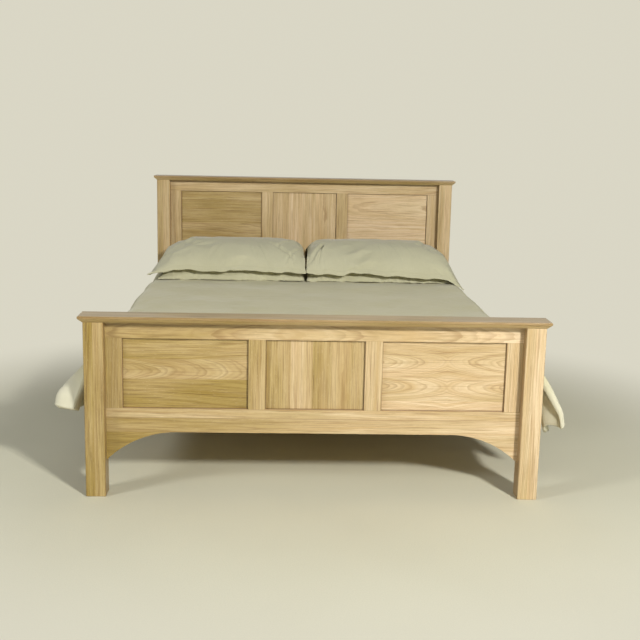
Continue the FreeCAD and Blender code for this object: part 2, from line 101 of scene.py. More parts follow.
def even_sky():
    """A neutral sky: plain light on the bed, the background's tone where the camera sees it.

    Its light is stronger from the head end, as from a pale wall behind the bed.
    """
    world = bpy.data.worlds.new("studio")
    scene.world = world
    world.use_nodes = True
    tree = world.node_tree
    tree.nodes.clear()
    seen = tree.nodes.new("ShaderNodeLightPath")
    either = tree.nodes.new("ShaderNodeMath")
    either.operation = "MAXIMUM"
    light = tree.nodes.new("ShaderNodeBackground")
    light.inputs["Color"].default_value = (1.0, 0.99, 0.97, 1.0)
    heading = tree.nodes.new("ShaderNodeSeparateXYZ")
    rise = tree.nodes.new("ShaderNodeMapRange")
    rise.interpolation_type = "SMOOTHSTEP"
    for number, value in enumerate(SKY_HEADINGS + SKY_STRENGTHS):
        rise.inputs[number + 1].default_value = value
    shown = tree.nodes.new("ShaderNodeBackground")
    shown.inputs["Color"].default_value = BACKDROP
    shown.inputs["Strength"].default_value = 1.0
    mixed = tree.nodes.new("ShaderNodeMixShader")
    out = tree.nodes.new("ShaderNodeOutputWorld")
    link = tree.links.new
    link(tree.nodes.new("ShaderNodeTexCoord").outputs["Generated"], heading.inputs[0])
    link(heading.outputs["Y"], rise.inputs[0])
    link(rise.outputs[0], light.inputs["Strength"])
    link(seen.outputs["Is Camera Ray"], either.inputs[0])
    link(seen.outputs["Is Transmission Ray"], either.inputs[1])
    link(either.outputs[0], mixed.inputs[0])
    link(light.outputs[0], mixed.inputs[1])
    link(shown.outputs[0], mixed.inputs[2])
    link(mixed.outputs[0], out.inputs[0])


# ---- Materials ---------------------------------------------------------------------------------
def tone(code):
    """A screen colour written as six hexadecimal digits, as linear red, green, blue, alpha."""
    parts = [int(code[k:k + 2], 16) / 255 for k in (0, 2, 4)]
    linear = [p / 12.92 if p < 0.04045 else ((p + 0.055) / 1.055) ** 2.4 for p in parts]
    return (*linear, 1.0)


class Finish:
    """A material being made: short calls that add a node, join it and return its output."""

    def __init__(self, name):
        self.material = bpy.data.materials.new(name)
        self.material.use_nodes = True
        self.nodes = self.material.node_tree.nodes
        self.join = self.material.node_tree.links.new
        self.surface = self.nodes["Principled BSDF"]

    def put(self, value, socket):
        """Joins an output to a socket, or sets the socket to a plain value."""
        if isinstance(value, bpy.types.NodeSocket):
            self.join(value, socket)
        else:
            socket.default_value = value

    def maths(self, operation, *values):
        """One step of arithmetic on plain numbers and outputs."""
        node = self.nodes.new("ShaderNodeMath")
        node.operation = operation
        for value, socket in zip(values, node.inputs):
            self.put(value, socket)
        return node.outputs[0]

    def plus(self, first, second):
        return self.maths("ADD", first, second)

    def minus(self, first, second):
        return self.maths("SUBTRACT", first, second)

    def times(self, first, second):
        return self.maths("MULTIPLY", first, second)

    def apart(self, first, second):
        """How far two values lie from each other."""
        return self.maths("ABSOLUTE", self.minus(first, second))

    def from_ends(self, value, low, high):
        """How far a value lies inside a span, from the nearer end."""
        return self.maths("MINIMUM", self.minus(value, low), self.minus(high, value))

    def place(self):
        """The point on the piece, as its three coordinates."""
        where = self.nodes.new("ShaderNodeTexCoord").outputs["Object"]
        split = self.nodes.new("ShaderNodeSeparateXYZ")
        self.join(where, split.inputs[0])
        return split.outputs

    def cloth_place(self):
        """The point on the cloth, in metres along its two threads."""
        split = self.nodes.new("ShaderNodeSeparateXYZ")
        self.join(self.nodes.new("ShaderNodeUVMap").outputs[0], split.inputs[0])
        return split.outputs

    def point(self, x, y, z):
        """Three coordinates as one point."""
        node = self.nodes.new("ShaderNodeCombineXYZ")
        for value, socket in zip((x, y, z), node.inputs):
            self.put(value, socket)
        return node.outputs[0]

    def noise(self, where, scale=1.0, detail=2.0, rough=0.5):
        """Soft random patches, mostly between 0.3 and 0.7."""
        node = self.nodes.new("ShaderNodeTexNoise")
        for name, value in (("Vector", where), ("Scale", scale), ("Detail", detail),
                            ("Roughness", rough)):
            self.put(value, node.inputs[name])
        return node.outputs["Fac"]

    def stretch(self, value, low, high, to_low=0.0, to_high=1.0, smooth=False):
        """Maps the span from low to high onto another span, and stops at its ends."""
        node = self.nodes.new("ShaderNodeMapRange")
        node.interpolation_type = "SMOOTHSTEP" if smooth else "LINEAR"
        for number, part in enumerate((value, low, high, to_low, to_high)):
            self.put(part, node.inputs[number])
        return node.outputs[0]

    def mix(self, share, first, second):
        """A colour that goes from the first to the second by a share."""
        node = self.nodes.new("ShaderNodeMix")
        node.data_type = "RGBA"
        for value, socket in ((share, node.inputs[0]), (first, node.inputs[6]),
                              (second, node.inputs[7])):
            self.put(value, socket)
        return node.outputs[2]

    def steps(self, value, stops):
        """A table of four numbers that changes at each stop and stays level between them."""
        node = self.nodes.new("ShaderNodeValToRGB")
        node.color_ramp.interpolation = "CONSTANT"
        points = node.color_ramp.elements
        while len(points) < len(stops):
            points.new(1.0)
        for element, (position, numbers) in zip(points, stops):
            element.position = position
        for element, (position, numbers) in zip(points, stops):
            element.color = numbers
        self.put(value, node.inputs[0])
        split = self.nodes.new("ShaderNodeSeparateColor")
        self.join(node.outputs["Color"], split.inputs[0])
        return [*split.outputs, node.outputs["Alpha"]]

    def relief(self, height, distance, strength):
        """Fine unevenness of the surface, as tall as the distance."""
        node = self.nodes.new("ShaderNodeBump")
        self.put(strength, node.inputs["Strength"])
        self.put(distance, node.inputs["Distance"])
        self.put(height, node.inputs["Height"])
        self.join(node.outputs[0], self.surface.inputs["Normal"])

    def gloss(self, values):
        """Plain numbers on the surface's own sockets."""
        for name, value in values.items():
            self.surface.inputs[name].default_value = value


AXES = {"X": 0, "Y": 1, "Z": 2}

# The tones of the timber, light, middle and dark, for a cool and a warm board.
OAK = {"cool": ("b8a05c", "9d823a", "674c1a"), "warm": ("ecd8b4", "d8bb8c", "a27c50")}
PINE = {"cool": ("e6d7ae", "d8be89", "b08a55"), "warm": ("ead2a2", "dab880", "b5844c")}
PAINTED_CORNER_SHADE = "4c3512"
LOG_LENGTH = 7.0             # how far apart along the log two boards can be cut
LOG_SPREAD = 31.0            # and across it


def timber(name, order, span, middle_plane, boards, palette, ring, slope, wave, crest=None,
           drift=0.0, clear=True, frame_edge=None):
    """Lacquered timber cut from a log.

    order names the axes along the grain, across the face and into it, and middle_plane is the
    piece's middle on the last one. boards lists, for each board of a glued piece, its share of
    the way across span, the place of the log's pith across and under the face, how far along the
    log it was cut and how warm it is. The rings are distances from the pith, which leaves the
    face at a slope and wanders, so that they show as straight lines, waves or nested arches. With
    a crest, the slope turns back there, and the arches open to both ends. drift is how much warmer
    and lighter the timber grows in each metre along the grain, partly its own tone and partly
    painted light from the lamp on the right. frame_edge is the opening that a panel shows in,
    along and across the grain; painted shade darkens the panel round its edges there.
    """
    made = Finish(name)
    place = made.place()
    along, across, deep = (place[AXES[axis]] for axis in order)
    deep = made.minus(deep, middle_plane)
    share = made.stretch(across, span[0], span[1])
    stops = [(start, (0.5 + at, depth, shift, warm)) for start, at, depth, shift, warm in boards]
    pith_at, pith_depth, shift, warm = made.steps(share, stops)
    run = made.maths("MULTIPLY_ADD", shift, LOG_LENGTH, along)

    def field(by_run, by_across, detail, rough=0.5):
        """Noise by its waves in each metre, along the grain and to both sides of it."""
        sideways = made.maths("MULTIPLY_ADD", across, by_across, made.times(shift, LOG_SPREAD))
        return made.noise(made.point(made.times(run, by_run), sideways,
                                     made.times(deep, by_across)), 1.0, detail, rough)

    def wander(by_run, by_across, detail, width):
        """How the rings stray to both sides of their line."""
        return made.times(made.minus(field(by_run, by_across, detail), 0.5), width)

    # The distance from the pith, with a slow bow, a sway and a quiver.
    middle = (span[0] + span[1]) / 2
    side = made.minus(made.minus(across, middle), made.minus(pith_at, 0.5))
    side = made.plus(side, wander(1.3, 2.0, 1.0, 0.035))
    rise = along if crest is None else made.apart(along, crest)
    under = made.plus(made.minus(deep, pith_depth), made.times(rise, slope))
    reach = made.maths("SQRT", made.plus(made.times(side, side), made.times(under, under)))
    reach = made.plus(reach, made.plus(wander(4.0, 12.0, 2.0, wave * 4.0),
                                       wander(26.0, 70.0, 2.0, wave * 1.2)))

    # Each year's ring: how far the year has grown, and the dense wood at its end.
    year = made.maths("DIVIDE", reach, ring)
    growth = made.maths("FRACT", year)
    late = made.times(made.stretch(growth, 0.2, 0.86, smooth=True),
                      made.stretch(growth, 0.9, 1.0, 1.0, 0.0))
    strength = made.noise(made.point(made.maths("FLOOR", year), shift, 0.0), 1.7, 0.0)
    late = made.times(late, made.stretch(strength, 0.35, 0.7, 0.15, 1.0))

    # What crosses the rings: broad bands, clouds of tone, streaks, fibres, open pores in the
    # spring wood, and the small bright flecks of the rays, where a board is cut near the radius.
    bands = made.noise(made.point(made.times(run, 1.5), made.times(reach, 110.0), shift), 1.0,
                       3.0, 0.6)
    cloud = field(2.5, 11.0, 3.0)
    streak = field(7.0, 190.0, 2.0)
    fibre = field(14.0, 700.0, 3.0, 0.6)
    pore = made.times(made.stretch(field(45.0, 1300.0, 1.0), 0.56, 0.66),
                      made.stretch(growth, 0.0, 0.3, 1.0, 0.15))
    fleck = made.times(made.stretch(field(80.0, 300.0, 1.0), 0.64, 0.72),
                       made.stretch(made.maths("ABSOLUTE", side), 0.10, 0.16))

    cool, warm_tones = ([tone(code) for code in palette[kind]] for kind in ("cool", "warm"))
    band = made.stretch(bands, 0.3, 0.7)
    warm = made.plus(warm, made.stretch(cloud, 0.3, 0.7, -0.22, 0.22))
    # Painted light in part: drift makes the timber warmer and lighter towards the right.
    warm = made.stretch(made.maths("MULTIPLY_ADD", along, drift, warm), 0.0, 1.0)
    face = made.mix(warm, made.mix(band, cool[0], cool[1]),
                    made.mix(band, warm_tones[0], warm_tones[1]))
    dark = made.mix(warm, cool[2], warm_tones[2])
    face = made.mix(made.times(late, 0.46), face, dark)
    face = made.mix(made.stretch(streak, 0.50, 0.72, 0.0, 0.55), face, dark)
    face = made.mix(made.stretch(fibre, 0.35, 0.75, 0.0, 0.22), face, dark)
    face = made.mix(made.times(pore, 0.5), face, dark)
    face = made.mix(made.times(fleck, 0.11), face, warm_tones[0])
    # Dark joint lines, and painted shade under the caps: the face darkens within 1.6 mm of its
    # edges across the grain.
    rim = made.from_ends(across, span[0], span[1])
    face = made.mix(made.stretch(rim, 0.0004, 0.0016, 0.55, 0.0), face, dark)
    # Painted shade round a panel's opening: the face darkens within 4 mm of the frame.
    if frame_edge:
        for value, (low, high) in zip((along, across), frame_edge):
            corner = made.from_ends(value, low, high)
            face = made.mix(made.stretch(corner, 0.0005, 0.0040, 0.62, 0.0), face,
                            tone(PAINTED_CORNER_SHADE))
    made.put(face, made.surface.inputs["Base Color"])
    made.put(made.stretch(fibre, 0.3, 0.7, 0.34, 0.48), made.surface.inputs["Roughness"])
    height = made.minus(made.times(late, 0.35), made.plus(pore, made.times(fibre, 0.3)))
    made.relief(height, 0.00025, 0.6 if clear else 0.9)
    if clear:
        made.gloss({"Coat Weight": 0.35, "Coat Roughness": 0.16})
    return made.material


def steel(name, colour):
    """Zinc-plated steel: crystalline patches of tone and fine drawn lines."""
    made = Finish(name)
    x, y, z = made.place()
    patch = made.noise(made.point(x, y, z), 160.0, 3.0)
    drawn = made.noise(made.point(made.times(x, 900.0), made.times(y, 60.0),
                                  made.times(z, 900.0)), 1.0, 2.0)
    light = [min(1.0, part * 1.25) for part in tone(colour)[:3]]
    made.put(made.mix(made.stretch(patch, 0.35, 0.65), tone(colour), (*light, 1.0)),
             made.surface.inputs["Base Color"])
    made.put(made.stretch(made.plus(patch, drawn), 0.7, 1.3, 0.26, 0.46),
             made.surface.inputs["Roughness"])
    made.relief(drawn, 0.00006, 0.5)
    made.gloss({"Metallic": 1.0})
    return made.material


def woven(name, light, dark, thread, weave_depth, hem=None, sheen=0.25, painted_highlight=None):
    """Cotton cloth on the piece's own map in metres: crossing threads, slubs and soft patches.

    hem gives the map's width and length, and how far inside its edges a line is stitched.
    painted_highlight gives the cloth's middle, the distance from it at which the sides start to
    hang, and the paler tone painted on the hanging sides towards the foot end, a painted highlight
    where the lamps catch the corner flares.
    """
    made = Finish(name)
    u, v, _ = made.cloth_place()
    turn = 2 * math.pi / thread
    warp, weft = (made.maths("SINE", made.times(way, turn)) for way in (u, v))
    weave = made.times(warp, weft)
    slub = made.noise(made.point(made.times(u, 1500.0), made.times(v, 40.0), 0.0), 1.0, 2.0)
    slub_across = made.noise(made.point(made.times(u, 40.0), made.times(v, 1500.0), 3.0), 1.0, 2.0)
    slubs = made.plus(slub, slub_across)
    patch = made.noise(made.point(u, v, 0.0), 5.0, 3.0)
    shade = made.plus(made.stretch(patch, 0.3, 0.7, 0.0, 0.5),
                      made.stretch(slubs, 0.7, 1.3, 0.0, 0.5))
    face = made.mix(shade, tone(light), tone(dark))
    height = made.plus(made.times(weave, 0.5), slubs)
    # Painted highlight: the hanging sides grow paler towards the foot corners.
    if painted_highlight:
        middle, side, pale = painted_highlight
        share = made.times(made.stretch(made.apart(u, middle), side, side + 0.16, smooth=True),
                           made.stretch(v, 0.0, 1.1, 0.68, 0.0, smooth=True))
        face = made.mix(share, face, tone(pale))
    if hem:
        width, length, inside = hem
        edge = made.maths("MINIMUM", made.from_ends(u, 0.0, width), made.from_ends(v, 0.0, length))
        line = made.stretch(made.apart(edge, inside), 0.0005, 0.0018, 1.0, 0.0)
        height = made.minus(height, made.times(line, 3.0))
        face = made.mix(made.times(line, 0.35), face, tone(dark))
    made.put(face, made.surface.inputs["Base Color"])
    made.put(made.stretch(slubs, 0.7, 1.3, 0.72, 0.86), made.surface.inputs["Roughness"])
    made.relief(height, weave_depth, 0.7)
    made.gloss({"Sheen Weight": sheen, "Sheen Roughness": 0.45, "Specular IOR Level": 0.3})
    return made.material


BED_MIDDLE_ON_FLOOR = -0.35  # where the photograph's lit floor is centred, along the bed
FLOOR_FADE = (1.15, 2.3)     # how far from there it starts and ends to pass into the background


def carpet(name, light, dark):
    """The floor's short pile. Far from the bed it passes into the plain background's tone."""
    made = Finish(name)
    x, y, z = made.place()
    pile = made.noise(made.point(x, y, z), 260.0, 2.0)
    patch = made.noise(made.point(x, y, z), 1.4, 2.0)
    shade = made.plus(made.stretch(pile, 0.3, 0.7, 0.0, 0.6),
                      made.stretch(patch, 0.3, 0.7, 0.0, 0.4))
    made.put(made.mix(shade, tone(light), tone(dark)), made.surface.inputs["Base Color"])
    made.relief(pile, 0.0012, 0.4)
    made.gloss({"Roughness": 0.95, "Specular IOR Level": 0.1})
    back = made.minus(y, BED_MIDDLE_ON_FLOOR)
    away = made.maths("SQRT", made.plus(made.times(x, x), made.times(back, back)))
    seen = made.nodes.new("ShaderNodeLightPath").outputs
    share = made.times(made.stretch(away, *FLOOR_FADE, smooth=True),
                       made.maths("MAXIMUM", seen["Is Camera Ray"], seen["Is Glossy Ray"]))
    plain = made.nodes.new("ShaderNodeEmission")
    plain.inputs["Color"].default_value = BACKDROP
    mixed = made.nodes.new("ShaderNodeMixShader")
    made.put(share, mixed.inputs[0])
    made.join(made.surface.outputs[0], mixed.inputs[1])
    made.join(plain.outputs[0], mixed.inputs[2])
    made.join(mixed.outputs[0], made.nodes["Material Output"].inputs["Surface"])
    return made.material


def paint(node, material):
    """Gives a CAD node its material."""
    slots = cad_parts[node].data.materials
    slots.clear()
    slots.append(material)


# ---- Timber of each piece --------------------------------------------------------------------
# The ring width, the slope of the grain, its waviness and the place where the slope turns back, for
# the plainer pieces.
STRAIGHT = (0.0040, 0.010, 0.003, None)
CAP_GRAIN = (0.0045, 0.004, 0.003, None)
RAIL_GRAIN = (0.0042, 0.020, 0.004, None)
HEAD_PANEL_GRAIN = (0.0046, 0.026, 0.004, None)
PINE_GRAIN = (0.0058, 0.020, 0.004)

# How warm the upright pieces of each end are, and how much warmer its middle panel is than at the
# foot end. The uprights on the right are warmer and lighter than those on the left: partly the
# timber's own tone, partly painted light from the lamp on the right.
WARMTH = {"footboard": {"left": 0.16, "right": 0.80}, "headboard": {"left": 0.46, "right": 0.60}}
PANEL_WARMTH = {"footboard": 0.0, "headboard": 0.22}

# How much warmer and lighter these pieces grow in each metre from left to right: partly the
# timber's own tone, partly painted light from the lamp on the right.
DRIFTS = {"footboard_top_rail": 0.55, "footboard_arch_apron": 0.62, "footboard_bottom_rail": 0.12}

# The upright pieces of the frame on both sides of each panel.
BESIDE = {"left": ("stile_left", "muntin_left"), "centre": ("muntin_left", "muntin_right"),
          "right": ("muntin_right", "stile_right")}


def span_of(node, axis):
    """From where to where a node reaches along an axis."""
    low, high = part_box(node)
    return low[AXES[axis]], high[AXES[axis]]


def panel_opening(end, where):
    """The opening that a panel shows in, between the frame's pieces, for each of its two axes."""
    left, right = (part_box(f"{end}_{piece}") for piece in BESIDE[where])
    return {"X": (left[1][0], right[0][0]),
            "Z": (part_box(f"{end}_bottom_rail")[1][2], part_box(f"{end}_top_rail")[0][2])}


def oak_pieces():
    """Every oak piece gets its own cut, so that no two neighbours share a figure.

    Each row gives the axes, the boards, the ring width, the slope of the grain, its waviness and
    the place along the piece where the slope turns back, if it does.
    """
    # The boards of the pieces on the right are warmer and lighter than those on the left: partly
    # the timber's own tone, partly painted light from the lamp on the right.
    rows = {
        "footboard_cap": ("XYZ", [(0, -0.26, 0.20, 0.11, 0.36), (0.5, 0.24, 0.22, 0.47, 0.30)],
                          *CAP_GRAIN),
        "headboard_cap": ("XYZ", [(0, 0.25, 0.20, 0.31, 0.40), (0.5, -0.25, 0.22, 0.62, 0.34)],
                          *CAP_GRAIN),
        "footboard_top_rail": ("XZY", [(0, -0.012, 0.075, 0.23, 0.68)], 0.0036, -0.055, 0.0022,
                               -0.10),
        "headboard_top_rail": ("XZY", [(0, -0.10, 0.14, 0.83, 0.62)], *RAIL_GRAIN),
        "footboard_bottom_rail": ("XZY", [(0, 0.16, 0.16, 0.53, 0.62)], 0.0042, 0.010, 0.003,
                                  None),
        "headboard_bottom_rail": ("XZY", [(0, 0.10, 0.17, 0.13, 0.45)], *RAIL_GRAIN),
        "footboard_arch_apron": ("XZY", [(0, 0.05, 0.06, 0.31, 0.40),
                                         (0.66, -0.10, 0.09, 0.71, 0.52)],
                                 0.0040, 0.034, 0.003, 0.0),
        "footboard_panel_left": ("XZY", [
            (0, -0.26, 0.12, 0.41, 0.10), (0.42, 0.010, 0.118, 0.63, 0.46),
            (0.69, 0.26, 0.12, 0.87, 0.14)], 0.0036, -0.145, 0.0026, None),
        "footboard_panel_right": ("XZY", [
            (0, -0.24, 0.14, 0.51, 0.95), (0.16, -0.040, 0.046, 0.93, 0.74),
            (0.47, 0.050, 0.050, 0.19, 0.82)], 0.0036, 0.150, 0.0022, 0.455),
        "headboard_panel_left": ("XZY", [
            (0, -0.30, 0.14, 0.27, 0.30), (0.36, 0.14, 0.10, 0.71, 0.42),
            (0.70, -0.30, 0.12, 0.45, 0.18)], *HEAD_PANEL_GRAIN),
        "headboard_panel_right": ("XZY", [
            (0, 0.25, 0.14, 0.59, 0.82), (0.34, -0.06, 0.11, 0.11, 0.96),
            (0.66, 0.22, 0.10, 0.79, 0.86)], *HEAD_PANEL_GRAIN),
        "side_rail_left": ("YZX", [(0, 0.05, 0.09, 0.43, 0.45)], 0.0040, 0.028, 0.003, 0.2),
        "side_rail_right": ("YZX", [(0, -0.03, 0.09, 0.63, 0.45)], 0.0040, 0.028, 0.003, -0.3),
    }
    for end, sides in WARMTH.items():
        more = PANEL_WARMTH[end]
        for side, warm in sides.items():
            cut = 0.17 if side == "left" else 0.47
            rows[f"{end}_post_{side}"] = ("ZXY", [(0, -0.22, 0.18, cut, warm - 0.10), (
                0.47, 0.24, 0.18, cut + 0.2, warm + 0.12)], *STRAIGHT)
            rows[f"{end}_stile_{side}"] = (
                "ZXY", [(0, 0.20, 0.20, cut + 0.1, warm + 0.02)], *STRAIGHT)
            rows[f"{end}_muntin_{side}"] = (
                "ZXY", [(0, -0.18, 0.18, cut + 0.35, 0.36 + warm * 0.45)], *STRAIGHT)
        rows[f"{end}_panel_centre"] = ("ZXY", [
            (0, -0.30, 0.12, 0.21, 0.30 + more), (0.26, 0.14, 0.14, 0.33, 0.58 + more),
            (0.47, -0.20, 0.12, 0.77, 0.36 + more), (0.66, 0.12, 0.12, 0.55, 0.50 + more),
            (0.84, 0.34, 0.14, 0.91, 0.44 + more)], 0.0040, 0.012, 0.003, None)
    for node, (order, boards, ring, slope, wave, crest) in rows.items():
        end, part, where = (node.split("_") + [""])[:3]
        opening = panel_opening(end, where) if part == "panel" else None
        frame_edge = opening and [opening[axis] for axis in order[:2]]
        middle_plane = sum(span_of(node, order[2])) / 2
        paint(node, timber("oak_" + node, order, span_of(node, order[1]), middle_plane, boards,
                           OAK, ring, slope, wave, crest, DRIFTS.get(node, 0.0),
                           frame_edge=frame_edge))


def pine_pieces():
    """Slats, ledges, centre rail and its legs: plain planed pine, without lacquer.

    The slats share one material, which changes board twelve times along the bed.
    """
    count = 12
    boards = [(k / count, 0.5 - (k * 0.37) % 1.0, 0.05 + 0.03 * (k % 4), (k * 0.29) % 1.0,
               (k * 0.61) % 1.0) for k in range(count)]
    slat_middle, ledge_middle = 0.271, 0.245
    slats = timber("pine_slats", "XYZ", (-1.02, 1.02), slat_middle, boards, PINE, 0.0062, 0.020,
                   0.004, clear=False)
    rails = timber("pine_rails", "YXZ", (-0.76, 0.76), ledge_middle,
                   [(0, 0.05, 0.12, 0.2, 0.4), (0.5, -0.05, 0.10, 0.7, 0.6)], PINE, *PINE_GRAIN,
                   clear=False)
    legs = timber("pine_legs", "ZXY", (-0.05, 0.05), 0.0, [(0, 0.06, 0.09, 0.4, 0.5)], PINE,
                  *PINE_GRAIN, clear=False)
    for material, nodes in ((slats, [f"slat_{number:02d}" for number in range(1, 15)]),
                            (rails, ("slat_ledge_left", "slat_ledge_right", "centre_rail")),
                            (legs, ("centre_leg_foot", "centre_leg_head"))):
        for node in nodes:
            paint(node, material)


def steel_pieces():
    """The fixings and the shoes of the centre rail, each in its own tone of zinc."""
    for node, colour in (("m8_studs", "b9bcbd"), ("m8_nuts", "c2c4c2"),
                         ("half_moon_washers", "b4b7b8"), ("centre_rail_shoe_foot", "aeb1b3"),
                         ("centre_rail_shoe_head", "aeb1b3")):
        paint(node, steel("zinc_" + node, colour))


# ---- Meshes from formulas ----------------------------------------------------------------------
def mesh_piece(name, points, faces, cloth_map=None):
    """A smooth-shaded piece from its points and faces, with an optional map in metres."""
    mesh = bpy.data.meshes.new(name)
    mesh.from_pydata(points, [], faces)
    mesh.polygons.foreach_set("use_smooth", np.ones(len(mesh.polygons), bool))
    if cloth_map is not None:
        layer = mesh.uv_layers.new(name="cloth")
        corner = np.empty(len(mesh.loops), np.int32)
        mesh.loops.foreach_get("vertex_index", corner)
        layer.data.foreach_set("uv", cloth_map[corner].astype(np.float32).ravel())
    mesh.update()
    piece = bpy.data.objects.new(name, mesh)
    scene.collection.objects.link(piece)
    return piece


def sheet_faces(rows, columns, turned=False):
    """The four-cornered faces of a grid of points, numbered row by row."""
    corner = np.arange(rows - 1)[:, None] * columns + np.arange(columns - 1)
    corner = corner.ravel()
    faces = np.stack([corner, corner + columns, corner + columns + 1, corner + 1], axis=1)
    return faces[:, ::-1] if turned else faces


def two_sheets(name, over, under, cloth_map):
    """Two grids of points that share their rim, as cloth sewn round its edge.

    The upper grid faces the way of its rows crossed with its columns, the lower one the other
    way. The rim's points are kept once, so that the piece is closed.
    """
    rows, columns, _ = over.shape
    rim = np.zeros((rows, columns), bool)
    rim[[0, -1], :] = True
    rim[:, [0, -1]] = True
    count = rows * columns
    number = np.arange(count).reshape(rows, columns)
    lower_number = number.copy()
    lower_number[~rim] = count + np.arange(int((~rim).sum()))
    upper_faces = sheet_faces(rows, columns)
    lower_faces = lower_number.ravel()[sheet_faces(rows, columns, turned=True)]
    points = np.concatenate([over.reshape(-1, 3), under[~rim]])
    flat = np.concatenate([cloth_map.reshape(-1, 2), cloth_map[~rim]])
    return mesh_piece(name, points, np.concatenate([upper_faces, lower_faces]).tolist(), flat)


def spread(count):
    """Numbers from 0 to 1 that crowd together towards both ends, for a round edge there.

    They are even steps less a share of one full sine wave.
    """
    t = np.linspace(0, 1, count)
    crowding = 0.308
    return t - crowding * np.sin(2 * np.pi * t) / np.pi


def ripples(u, v, size, seed):
    """A smooth, uneven field of about -1 to 1.

    It is the sum of level waves that cross the cloth in random directions, each near the given
    size from crest to crest.
    """
    chance = np.random.default_rng(seed)
    waves = 14
    total = np.zeros_like(u)
    for _ in range(waves):
        heading = chance.uniform(0, 2 * math.pi)
        pitch = 2 * math.pi / (size * chance.uniform(0.65, 1.6))
        total += np.cos(pitch * (u * math.cos(heading) + v * math.sin(heading))
                        + chance.uniform(0, 2 * math.pi))
    return total / math.sqrt(waves)


def crease(u, v, start, end, width, depth):
    """A pressed-in fold along a line: a narrow valley with a low swell on each side.

    Across the line it is minus a bell curve plus two wider, lower bells. Along it, the depth
    fades to nothing at both ends.
    """
    run = np.array(end) - np.array(start)
    length = math.hypot(*run)
    way = run / length
    along = ((u - start[0]) * way[0] + (v - start[1]) * way[1]) / length
    off = (-(u - start[0]) * way[1] + (v - start[1]) * way[0]) / width
    fade = np.clip(1 - (2 * along - 1) ** 2, 0, 1) ** 0.7
    return depth * fade * (0.55 * np.exp(-(off / 2.6) ** 2) - np.exp(-off ** 2))


def smooth(a, b, x):
    """A soft step from 0 at a to 1 at b."""
    t = np.clip((x - a) / (b - a), 0, 1)
    return t * t * (3 - 2 * t)


def facing(surface):
    """The outward direction at each point of a grid: its rows' way crossed with its columns'."""
    by_row = np.gradient(surface, axis=0)
    by_column = np.gradient(surface, axis=1)
    out = np.cross(by_row, by_column)
    return out / np.maximum(np.linalg.norm(out, axis=2, keepdims=True), 1e-12)


# ---- Duvet -------------------------------------------------------------------------------------
BED = 0.5030                  # top of the duvet
SHOULDER = (0.726, 0.4565)    # the mattress edge that each side rolls over
LINING_ROUND = 0.0247         # how round the lining turns down there
LINING_TURN = LINING_ROUND * math.pi / 2
HALF_TOP = SHOULDER[0] + LINING_TURN
HANG = {-1: 0.225, 1: 0.246}  # how far the left and the right side hang from there
LEAN = math.sin(0.2240)       # how far a side leans out, by its length
DUVET_LENGTH = 1.9545
DUVET_FOOT = -0.9985          # where its foot edge lies
DUVET_RIM = 0.011             # how round its rim is
AT_RIM = 1 - 1e-9             # from here on, a place from -1 to 1 counts as the rim


def eased(x, marks, values, width):
    """Straight runs through the given marks, with their corners rounded over a width."""
    parts = [np.interp(x + width * k / 3, marks, values) for k in range(-3, 4)]
    return sum(parts) / len(parts)


# Each foot corner's flare, by the distance from the duvet's foot edge: how far the hem stands off
# the line that the side hangs along, how far it has slipped back towards the foot, and how much
# longer the side is there.
FLARE_MARKS = (0.0, 0.025, 0.06, 0.09, 0.13, 0.19, 0.27, 0.38, 0.55)
FLARES = {
    -1: ((0.018, 0.054, 0.104, 0.108, 0.088, 0.050, 0.018, 0.004, 0.0),
         (0.000, 0.014, 0.040, 0.056, 0.064, 0.060, 0.046, 0.026, 0.0),
         (-0.042, -0.030, -0.006, 0.002, 0.0, 0.004, 0.0, 0.0, 0.0)),
    1: ((0.082, 0.078, 0.034, 0.014, 0.040, 0.038, 0.018, 0.004, 0.0),
        (0.000, 0.010, 0.024, 0.030, 0.040, 0.046, 0.036, 0.020, 0.0),
        (0.014, 0.004, -0.016, 0.010, 0.040, 0.010, 0.0, 0.0, 0.0)),
}


# Creases and, where the depth is negative, low ridges on top of the duvet: the start and end across
# it and from its foot edge, the width and the depth.
DUVET_CREASES = (
    (-0.52, 1.05, 0.10, 1.16, 0.010, 0.0040), (-0.30, 0.86, 0.42, 0.95, 0.009, 0.0032),
    (-0.60, 1.32, -0.05, 1.24, 0.010, 0.0036), (0.12, 1.34, 0.62, 1.22, 0.010, 0.0036),
    (0.30, 0.52, 0.66, 0.70, 0.010, 0.0030), (-0.66, 0.40, -0.20, 0.56, 0.011, 0.0030),
    (-0.10, 0.24, 0.30, 0.42, 0.009, 0.0026), (0.70, 0.20, 0.50, 0.80, 0.011, 0.0034),
    (-0.72, 0.90, -0.48, 1.30, 0.010, 0.0034), (0.40, 1.05, 0.70, 1.45, 0.010, 0.0030),
    (-0.64, 0.93, 0.06, 0.90, 0.006, -0.0070), (-0.42, 1.04, 0.20, 1.01, 0.005, -0.0056),
    (-0.56, 0.80, -0.02, 0.77, 0.006, -0.0058), (-0.20, 0.70, 0.52, 0.74, 0.007, -0.0050))


